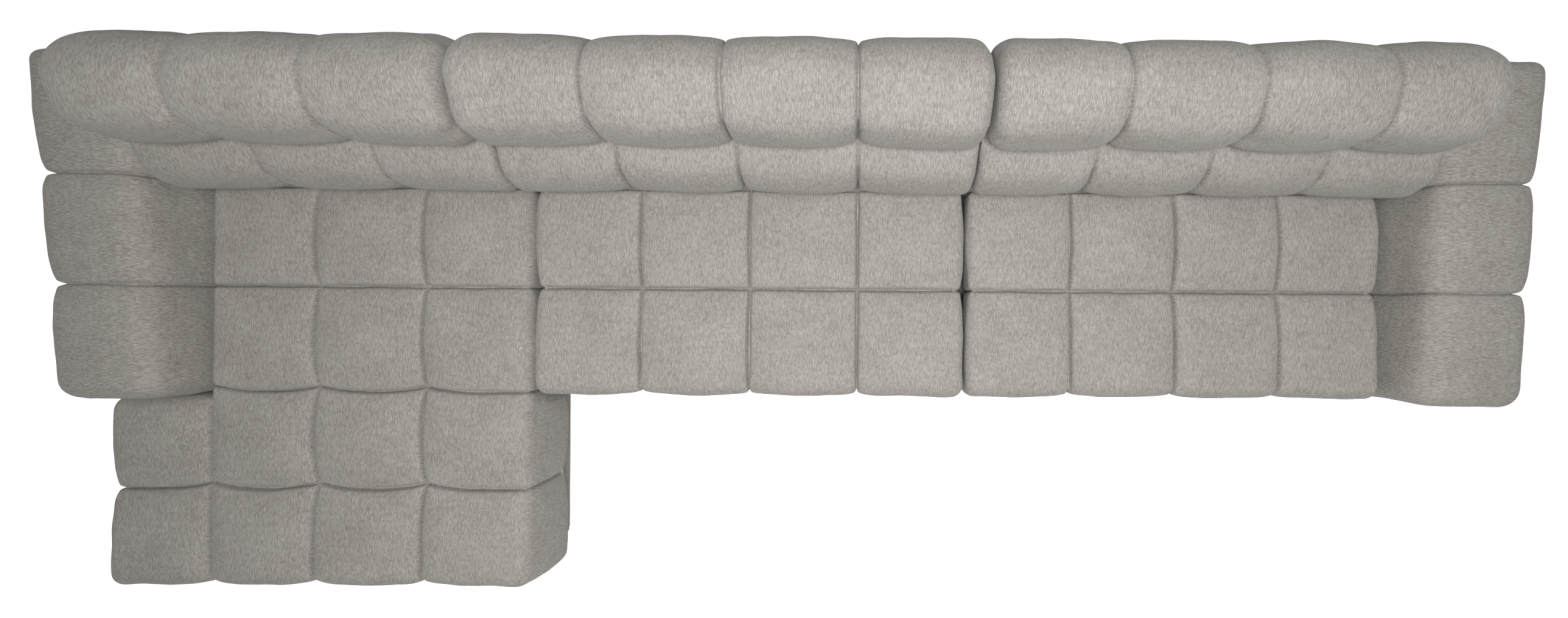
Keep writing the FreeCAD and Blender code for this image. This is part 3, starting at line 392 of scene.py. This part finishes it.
class Graph:
    """The nodes of one material."""

    def __init__(self, name):
        self.material = bpy.data.materials.new(name)
        self.material.use_nodes = True
        self.tree = self.material.node_tree
        self.shader = self.tree.nodes["Principled BSDF"]

    def node(self, kind, inputs, output=0, **settings):
        made = self.tree.nodes.new(kind)
        for key, value in settings.items():
            setattr(made, key, value)
        for socket, value in inputs.items():
            if isinstance(value, bpy.types.NodeSocket):
                self.tree.links.new(value, made.inputs[socket])
            else:
                made.inputs[socket].default_value = value
        return made.outputs[output]

    def calc(self, operation, *values, clamp=False):
        return self.node("ShaderNodeMath", dict(enumerate(values)), operation=operation, use_clamp=clamp)

    def vector(self, operation, first, second):
        return self.node("ShaderNodeVectorMath", {0: first, 1: second}, operation=operation)

    def grain(self, place, scale, detail=2.0, roughness=0.5):
        """Noise stretched by a scale for each axis."""
        stretched = self.vector("MULTIPLY", place, scale)
        return self.node("ShaderNodeTexNoise", {"Vector": stretched, "Scale": 1.0, "Detail": detail,
                                                "Roughness": roughness}, output=0)

    def between(self, factor, first, second):
        return self.node("ShaderNodeMix", {0: factor, 6: first, 7: second}, output=2, data_type="RGBA")

    def ranged(self, value, low, high, to_low=0.0, to_high=1.0, kind="SMOOTHSTEP"):
        return self.node("ShaderNodeMapRange", {0: value, 1: low, 2: high, 3: to_low, 4: to_high},
                         interpolation_type=kind)

    def finish(self, colour, height, strength, distance, **plain):
        """Puts the colour, the bump and the plain values on the shader, and gives the material."""
        self.tree.links.new(colour, self.shader.inputs["Base Color"])
        for socket, value in plain.items():
            self.shader.inputs[socket.replace("_", " ")].default_value = value
        bump = self.node("ShaderNodeBump", {"Height": height, "Strength": strength, "Distance": distance})
        self.tree.links.new(bump, self.shader.inputs["Normal"])
        return self.material


def rgb(red, green, blue):
    """A colour as seen on screen, for a shader socket."""
    return tuple(((c / 255 + 0.055) / 1.055) ** 2.4 for c in (red, green, blue)) + (1.0,)


# Painted shade and light on the crinkle: the colour goes darker in the creases and lighter on the ribs; the
# bump carries the same relief
SHADED_CREASE, LIT_RIB = rgb(124, 118, 110), rgb(184, 180, 174)
CHENILLE_BUMP, CHENILLE_HEIGHT = 0.55, 0.0016


def chenille(name, turned):
    """Crinkled chenille: fine broken ribs in a net of thin creases, over patches where the pile lies
    differently. Shade is painted darker into the creases and light painted onto the ribs. The ribs run from
    back to front, or across where turned."""
    graph = Graph(name)
    place = graph.node("ShaderNodeTexCoord", {}, output=3)
    normal = graph.node("ShaderNodeNewGeometry", {}, output=1)
    facing = graph.node("ShaderNodeSeparateXYZ", {0: normal}, output=1 if turned else 0)
    side = graph.ranged(graph.calc("ABSOLUTE", facing), 0.6, 0.82)
    wobble = graph.node("ShaderNodeTexNoise", {"Vector": place, "Scale": 60.0, "Detail": 2.0}, output=1)
    shift = graph.vector("MULTIPLY", graph.vector("SUBTRACT", wobble, (0.5, 0.5, 0.5)), (0.008, 0.008, 0.008))
    warped = graph.vector("ADD", place, shift)
    heights = []
    for narrow in ((1, 0) if turned else (0, 1)):
        wide = [50.0, 50.0, 50.0]
        wide[narrow] = 205.0
        cell = graph.vector("MULTIPLY", warped, tuple(wide))
        net = graph.node("ShaderNodeTexVoronoi", {"Vector": cell, "Scale": 1.0, "Randomness": 1.0},
                         feature="DISTANCE_TO_EDGE")
        creases = graph.ranged(net, 0.0, 0.17)
        fine = [55.0, 55.0, 55.0]
        fine[narrow] = 330.0
        ribs = graph.ranged(graph.grain(warped, tuple(fine), 2.0, 0.6), 0.36, 0.62)
        heights.append(graph.calc("MULTIPLY_ADD", creases, 0.5, graph.calc("MULTIPLY", ribs, 0.5)))
    height = graph.calc("MULTIPLY_ADD", side, graph.calc("SUBTRACT", heights[1], heights[0]), heights[0])
    patches = graph.grain(place, (6.0, 9.0, 9.0), 3.0, 0.55)
    streaks = graph.grain(place, (90.0, 16.0, 90.0) if turned else (16.0, 90.0, 90.0), 3.0, 0.6)
    lay = graph.calc("ADD", graph.ranged(patches, 0.3, 0.7, -0.07, 0.07, "LINEAR"),
                     graph.ranged(streaks, 0.3, 0.7, -0.06, 0.06, "LINEAR"))
    shade = graph.calc("ADD", graph.calc("MULTIPLY_ADD", height, 0.6, 0.22), lay, clamp=True)
    # painted shade in the creases and painted light on the ribs, over tone that differs at random in patches
    # and streaks
    colour = graph.between(shade, SHADED_CREASE, LIT_RIB)
    return graph.finish(colour, height, CHENILLE_BUMP, CHENILLE_HEIGHT, Roughness=0.95, Sheen_Weight=0.18,
                        Sheen_Roughness=0.55, Specular_IOR_Level=0.2)


def wood(name):
    """Sawn softwood, its grain along the boards' length."""
    graph = Graph(name)
    place = graph.node("ShaderNodeTexCoord", {}, output=3)
    rings = graph.grain(place, (3.0, 38.0, 38.0), 5.0, 0.65)
    fibres = graph.grain(place, (14.0, 420.0, 420.0), 2.0)
    tone = graph.calc("MULTIPLY_ADD", rings, 0.75, graph.calc("MULTIPLY", fibres, 0.25))
    colour = graph.between(graph.ranged(tone, 0.3, 0.7), rgb(150, 110, 68), rgb(212, 178, 130))
    return graph.finish(colour, tone, 0.25, 0.0006, Roughness=0.7)


def metal(name, light, dark, roughness):
    """Drawn or plated steel with a little tarnish."""
    graph = Graph(name)
    place = graph.node("ShaderNodeTexCoord", {}, output=3)
    clouds = graph.grain(place, (60.0, 60.0, 60.0), 4.0, 0.6)
    scratches = graph.grain(place, (900.0, 40.0, 900.0), 2.0)
    colour = graph.between(graph.ranged(clouds, 0.35, 0.65), dark, light)
    return graph.finish(colour, scratches, 0.12, 0.0002, Metallic=1.0, Roughness=roughness)


def cloth(name, light, dark, pitch, strength=0.4):
    """Plain woven or felted cloth, by the pitch of its threads."""
    graph = Graph(name)
    place = graph.node("ShaderNodeTexCoord", {}, output=3)
    rate = 1 / pitch
    warp = graph.grain(place, (rate, rate * 0.16, rate * 0.16), 1.0)
    weft = graph.grain(place, (rate * 0.16, rate, rate), 1.0)
    threads = graph.calc("ADD", warp, weft)
    patches = graph.grain(place, (12.0, 12.0, 12.0), 4.0)
    tone = graph.calc("MULTIPLY_ADD", patches, 0.5, graph.calc("MULTIPLY", threads, 0.4))
    colour = graph.between(graph.ranged(tone, 0.4, 0.9), dark, light)
    return graph.finish(colour, threads, strength, pitch * 0.4, Roughness=0.92)


def plastic(name, light, dark):
    """Moulded plastic with a fine grain."""
    graph = Graph(name)
    place = graph.node("ShaderNodeTexCoord", {}, output=3)
    grain = graph.grain(place, (900.0, 900.0, 900.0), 2.0)
    scuffs = graph.grain(place, (40.0, 40.0, 40.0), 4.0, 0.7)
    colour = graph.between(graph.ranged(scuffs, 0.4, 0.75), dark, light)
    return graph.finish(colour, grain, 0.2, 0.0002, Roughness=0.48)


FABRIC = chenille("tufted chenille", False)
ARM_FABRIC = chenille("arm chenille", True)
PLAIN_FABRIC = chenille("plain chenille", False)
NODE_LOOKS = {
    "frame": wood("sawn softwood"),
    "springs": metal("spring wire", rgb(168, 168, 164), rgb(120, 118, 112), 0.38),
    "clips": metal("pressed steel", rgb(176, 176, 174), rgb(132, 132, 128), 0.45),
    "deck": cloth("deck felt", rgb(112, 110, 106), rgb(70, 68, 66), 0.003),
    "dust": cloth("dust cloth", rgb(52, 52, 54), rgb(28, 28, 30), 0.0012),
    "webbing": cloth("elastic webbing", rgb(60, 58, 56), rgb(24, 23, 22), 0.002, 0.6),
    "feet": plastic("foot plastic", rgb(46, 44, 43), rgb(24, 23, 23)),
    "bolts": metal("zinc plating", rgb(190, 192, 190), rgb(150, 152, 150), 0.35),
    "screws": metal("screw plating", rgb(196, 186, 150), rgb(150, 140, 110), 0.4),
    "tongue": metal("connector steel", rgb(96, 97, 99), rgb(66, 67, 69), 0.5),
}


# Pieces

def dressed(thing, material, body, slot, *nodes):
    """Gives a piece its material and its place on the frame."""
    thing.data.materials.clear()
    thing.data.materials.append(material)
    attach(thing, body)
    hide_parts(*nodes)
    return thing


def evenly(low, high, count):
    return [low + (high - low) * index / count for index in range(count + 1)]


def seat(name, body, blocks, phase):
    thing = mesh_object(name + "_seat_cover", blocks)
    crumple(thing, 0.0035, 0.11, phase)
    smoothed(thing)
    dressed(thing, FABRIC, body, "tufted_fabric", name + "_seat_cushion")


def sofa_seat(name, body, low, high, phase):
    columns = evenly(low + HALF_GAP, high - HALF_GAP, 4)
    rows = [SOFA_FRONT, FIRST_SEAM, SEAT_LINE, PAD_REAR]
    top = block(columns, rows, CUSHION_BOTTOM, SEAT_TOP + 0.001, (0.034, 0.034, 0.05, 0.03), phase=phase,
                side=pillow_side, bow=seat_bow)
    seat(name, body, [top], phase)


def chaise_seat():
    columns = evenly(LEFT_INNER + HALF_GAP, CHAISE_JOINT - HALF_GAP, 3)
    rows = [CHAISE_FRONT, THIRD_SEAM, SECOND_SEAM, FIRST_SEAM, SEAT_LINE, PAD_REAR]
    main = block(columns, rows, CUSHION_BOTTOM, SEAT_TOP + 0.001, (0.034, 0.05, 0.045, 0.03), phase=1.4,
                 sewn=(True, False, False, False), side=chaise_side, bow=seat_bow)
    toe_rows = [CHAISE_FRONT, THIRD_SEAM, SOFA_FRONT - HALF_GAP]
    toe = block([CHAISE_LEFT, LEFT_INNER + HALF_GAP - 0.0006], toe_rows, CUSHION_BOTTOM, SEAT_TOP + 0.001,
                (0.036, 0.04, 0.045, 0.05), phase=2.9, sewn=(False, True, False, False), side=pillow_side,
                bow=seat_bow)
    seat("chaise", "chaise_section", [main, toe], 4.2)


ROLL = [(0.518, 0.7), (0.518, 0.7), (0.493, 0.74), (0.488, 0.8), (0.513, 0.895), (0.619, 0.94), (0.7, 0.915),
        (0.745, 0.845), (0.748, 0.77), (0.736, 0.7), (0.736, 0.7)]
PAD = [(PAD_REAR, 0.457), (PAD_REAR, 0.457), (PAD_REAR, 0.6995), (PAD_REAR, 0.6995), (0.52, 0.6995),
       (0.52, 0.6995), (0.442, 0.66), (0.408, 0.578), (0.42, 0.505), (0.46, 0.457), (0.46, 0.457)]


def roll_give(profile, normals):
    """The roll is drawn in most in front, less on top and behind, and rests on its flat underside."""
    front = np.clip(-normals[:, 0], 0, 1)
    top = np.clip(normals[:, 1], 0, 1)
    rear = np.clip(normals[:, 0], 0, 1)
    return np.clip(front + 0.55 * top * (1 - front) + 0.3 * rear, 0, 1)


def pad_give(profile, normals):
    return np.clip(-normals[:, 0] * 1.4, 0, 1) * np.clip((0.53 - profile[:, 0]) / 0.03, 0, 1)


def along_sofa(x, y, z):
    return (x, y, z)


# The rounding and the trim of a roll's end
OUTER_END, CHAISE_JOINT_END, JOINT_END = (0.105, 0.008), (0.055, 0.002), (0.05, 0.002)
PAD_END = 0.03


def back(name, body, low, high, count, ends, phase):
    """The roll and the pad of one section, in as many columns as its seat."""
    lines = evenly(low + HALF_GAP, high - HALF_GAP, count)
    (low_round, low_trim), (high_round, high_trim) = ends
    trimmed = [lines[0] + low_trim, *lines[1:-1], lines[-1] - high_trim]
    form = bolster(trimmed, (low_round, high_round), ROLL, roll_give, along_sofa, seam=0.014, crown=0.014,
                   dome=0.001, phase=phase, gather=0.006)
    roll = mesh_object(name + "_roll_cover", [form])
    crumple(roll, 0.004, 0.12, phase)
    smoothed(roll)
    dressed(roll, FABRIC, body, "tufted_fabric", name + "_back_roll")
    form = bolster(lines, (PAD_END, PAD_END), PAD, pad_give, along_sofa, seam=0.011, crown=0.009, dome=0.0,
                   phase=phase + 9)
    pad = mesh_object(name + "_pad_cover", [form])
    crumple(pad, 0.002, 0.1, phase + 2)
    smoothed(pad)
    dressed(pad, FABRIC, body, "tufted_fabric", name + "_back_pad")


ARM = [(0.0115, BASE), (0.0115, BASE), (0.003, 0.25), (0.0065, 0.463), (0.0115, 0.553), (0.028, 0.588),
       (0.064, 0.609), (0.15, 0.615), (0.252, 0.61), (0.288, 0.588), (0.302, 0.545), (0.304, 0.311),
       (0.292, BASE), (0.292, BASE)]


def arm_give(profile, normals):
    out = np.clip(normals[:, 0], 0, 1)
    return np.clip(0.6 + 0.4 * out, 0, 1) * np.clip((profile[:, 1] - BASE) / 0.03, 0, 1)


def arm_slope(y, ring):
    """The arm rises from its front to the back."""
    top = ARM_TOP_FRONT + (ARM_TOP_REAR - ARM_TOP_FRONT) * (y - SOFA_FRONT) / (REAR - SOFA_FRONT)
    rise = (top - BASE) / (ARM_TOP_FRONT - BASE)
    return np.stack([ring[:, 0], BASE + (ring[:, 1] - BASE) * rise], axis=-1)


def arm(name, body, inner, side, phase):
    lines = [SOFA_FRONT, FIRST_SEAM, SEAT_LINE, REAR]

    def placed(y, across, z):
        return (inner + side * across, y, z)
    form = bolster(lines, (0.056, 0.04), ARM, arm_give, placed, seam=0.013, crown=0.010, reach=0.05,
                   phase=phase, stretch=arm_slope, dome=0.0)
    thing = mesh_object(name + "_arm_cover", [form])
    crumple(thing, 0.0035, 0.13, phase)
    smoothed(thing)
    dressed(thing, ARM_FABRIC, body, "tufted_fabric", name + "_arm_pad")


def standing(y_face, way):
    """Turns a block's top towards the front (way -1) or the back (way 1), its face at y_face."""
    def turn(points):
        return np.stack([points[:, 0], y_face + way * points[:, 2], points[:, 1]], axis=-1)
    return turn


def back_panel(name, body):
    low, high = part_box(name + "_back_panel")
    depth = high.y - low.y
    form = block([low.x, high.x], [low.z, high.z], -depth, 0.003, (0.012,) * 4, seam=0, crown=0.003,
                 turn=standing(high.y, 1), cell=0.03)
    thing = mesh_object(name + "_back_cover", [form])
    crumple(thing, 0.0016, 0.16, 5.5)
    smoothed(thing)
    dressed(thing, PLAIN_FABRIC, body, "plain_fabric", name + "_back_panel")


def covered_boards(boards):
    """Thin padded covers over upright boards, each a box with the axis and the way that it faces."""
    parts = []
    for low, high, axis, way in boards:
        deep = high[axis] - low[axis]
        other = 1 - axis
        face = high[axis] if way > 0 else low[axis]

        def turn(points, axis=axis, other=other, way=way, face=face):
            out = np.zeros_like(points)
            out[:, other], out[:, 2], out[:, axis] = points[:, 0], points[:, 1], face + way * points[:, 2]
            return out
        parts.append(block([low[other], high[other]], [low[2], high[2]], -deep, 0.002, (0.006,) * 4, seam=0,
                           crown=0.001, turn=turn, cell=0.03))
    return parts


def base_band(name, body, boards):
    thing = mesh_object(name + "_base_cover", covered_boards(boards))
    crumple(thing, 0.0008, 0.12, 8.1)
    smoothed(thing)
    dressed(thing, PLAIN_FABRIC, body, "plain_fabric", name + "_base_band")


def back_cheek(name, body, inner, side):
    """The fabric over the back's outer side, between the arm and the roll."""
    face, thick = inner + side * 0.004, 0.005
    low_x, high_x = sorted((face, face - side * thick))
    low, high = (low_x, PAD_REAR - 0.002, 0.56), (high_x, REAR - 0.004, 0.6985)
    thing = mesh_object(name + "_back_cheek", covered_boards([(low, high, 0, side)]))
    thing.data.materials.append(PLAIN_FABRIC)
    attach(thing, body)
    smoothed(thing)


def front_board(name):
    low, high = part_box(name + "_base_band")
    return [(tuple(low), tuple(high), 1, -1)]


def chaise_boards():
    low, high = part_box("chaise_base_band")
    thick = 0.012
    split_y, sofa_rail_y = SOFA_FRONT - 2 * HALF_GAP, SOFA_FRONT + 0.06
    return [
        ((low.x, low.y, low.z), (high.x, low.y + thick, high.z), 1, -1),
        ((low.x, low.y + thick, low.z), (low.x + thick, split_y, high.z), 0, -1),
        ((high.x - thick, low.y + thick, low.z), (high.x, sofa_rail_y, high.z), 0, 1),
    ]


sofa_seat("middle", "middle_section", CHAISE_JOINT, RIGHT_JOINT, 6.6)
sofa_seat("right", "right_section", RIGHT_JOINT, RIGHT_INNER, 8.3)
chaise_seat()
back("chaise", "chaise_section", LEFT_INNER, CHAISE_JOINT, 3, (OUTER_END, CHAISE_JOINT_END), 1.2)
back("middle", "middle_section", CHAISE_JOINT, RIGHT_JOINT, 4, (JOINT_END, JOINT_END), 3.4)
back("right", "right_section", RIGHT_JOINT, RIGHT_INNER, 4, (JOINT_END, OUTER_END), 5.6)
arm("left", "chaise_section", LEFT_INNER, -1, 2.2)
arm("right", "right_section", RIGHT_INNER, 1, 7.4)
for section in ("chaise", "middle", "right"):
    back_panel(section, section + "_section")
base_band("chaise", "chaise_section", chaise_boards())
base_band("middle", "middle_section", front_board("middle"))
base_band("right", "right_section", front_board("right"))
back_cheek("left", "chaise_section", LEFT_INNER, -1)
back_cheek("right", "right_section", RIGHT_INNER, 1)

LOOK_OF = {
    "seat_frame": "frame", "back_frame": "frame", "arm_frame": "frame", "seat_springs": "springs",
    "spring_clips": "clips", "deck_pad": "deck", "dust_cover": "dust", "back_webbing": "webbing",
    "feet": "feet", "foot_bolts": "bolts", "arm_bolts": "bolts", "tongue": "tongue", "receivers": "tongue",
    "tongue_screws": "screws", "receiver_screws": "screws",
}
for name, node in frame["nodes"].items():
    kind = name.split("_", 1)[1]
    if kind in LOOK_OF:
        node.data.materials.clear()
        node.data.materials.append(NODE_LOOKS[LOOK_OF[kind]])


# Studio

FLOOR_HALF, FLOOR_GLOW = 14.0, 0.8
FILL_STRENGTH = 0.07
KEY_PLACE, KEY_TARGET, KEY_SIZE, KEY_WATTS = (0.28, -0.32, 3.6), (0.25, -0.15, 0.4), (1.6, 1.2), 121


def background_rays(tree):
    """1 for the rays that show the background as white: camera, glossy and transmission rays."""
    light = tree.nodes.new("ShaderNodeLightPath")
    seen = light.outputs["Is Camera Ray"]
    for kind in ("Is Glossy Ray", "Is Transmission Ray"):
        most = tree.nodes.new("ShaderNodeMath")
        most.operation = "MAXIMUM"
        tree.links.new(seen, most.inputs[0])
        tree.links.new(light.outputs[kind], most.inputs[1])
        seen = most.outputs[0]
    return seen


def floor():
    """A pale floor that is white to the camera where the light reaches it, and keeps the sofa's shadow."""
    mesh = bpy.data.meshes.new("floor")
    corners = [(-1, -1), (1, -1), (1, 1), (-1, 1)]
    mesh.from_pydata([(x * FLOOR_HALF, y * FLOOR_HALF, 0.0) for x, y in corners], [], [(0, 1, 2, 3)])
    thing = bpy.data.objects.new("floor", mesh)
    bpy.context.scene.collection.objects.link(thing)
    graph = Graph("pale floor")
    tree = graph.tree
    graph.shader.inputs["Base Color"].default_value = (0.8, 0.8, 0.8, 1)
    graph.shader.inputs["Roughness"].default_value = 0.9
    strength = graph.calc("MULTIPLY", background_rays(tree), FLOOR_GLOW)
    glow = graph.node("ShaderNodeEmission", {"Color": (1, 1, 1, 1), "Strength": strength})
    both = graph.node("ShaderNodeAddShader", {0: graph.shader.outputs[0], 1: glow})
    tree.links.new(both, tree.nodes["Material Output"].inputs["Surface"])
    mesh.materials.append(graph.material)


def world():
    """White behind everything for the camera, and a plain soft fill on the object."""
    made = bpy.data.worlds.new("studio")
    bpy.context.scene.world = made
    made.use_nodes = True
    tree = made.node_tree
    fill = tree.nodes["Background"]
    fill.inputs["Color"].default_value = (1.0, 0.995, 0.985, 1)
    fill.inputs["Strength"].default_value = FILL_STRENGTH
    white = tree.nodes.new("ShaderNodeBackground")
    white.inputs["Color"].default_value = (1, 1, 1, 1)
    white.inputs["Strength"].default_value = 1.0
    mix = tree.nodes.new("ShaderNodeMixShader")
    tree.links.new(background_rays(tree), mix.inputs[0])
    tree.links.new(fill.outputs[0], mix.inputs[1])
    tree.links.new(white.outputs[0], mix.inputs[2])
    tree.links.new(mix.outputs[0], tree.nodes["World Output"].inputs["Surface"])


def lamp(name, place, target, size, power):
    data = bpy.data.lights.new(name, "AREA")
    data.shape = "RECTANGLE"
    data.size, data.size_y = size
    data.energy = power
    thing = bpy.data.objects.new(name, data)
    bpy.context.scene.collection.objects.link(thing)
    thing.location = place
    thing.rotation_euler = (Vector(target) - Vector(place)).to_track_quat("-Z", "Y").to_euler()


LENS, SENSOR_WIDTH = 15.4, 36.0
CAMERA_PLACE, CAMERA_TILT, CAMERA_TURN = (0.1825, 0.11, 2.47), math.radians(0.3), math.radians(0.4)
SHIFT_X, SHIFT_Y = -0.0474, -0.0068


def camera():
    """Straight above the sofa with a wide lens, tilted and turned a little as the photograph is. The tilt
    is taken back by the shift, so that the middle of the view stays where it is."""
    data = bpy.data.cameras.new("camera")
    data.sensor_width = SENSOR_WIDTH
    data.lens = LENS
    data.shift_x, data.shift_y = SHIFT_X - CAMERA_TILT * LENS / SENSOR_WIDTH, SHIFT_Y
    thing = bpy.data.objects.new("camera", data)
    bpy.context.scene.collection.objects.link(thing)
    thing.location = CAMERA_PLACE
    thing.rotation_euler = (0, -CAMERA_TILT, CAMERA_TURN)
    bpy.context.scene.camera = thing


floor()
world()
lamp("key", KEY_PLACE, KEY_TARGET, KEY_SIZE, KEY_WATTS)
camera()
bpy.context.scene.view_settings.view_transform = "Standard"
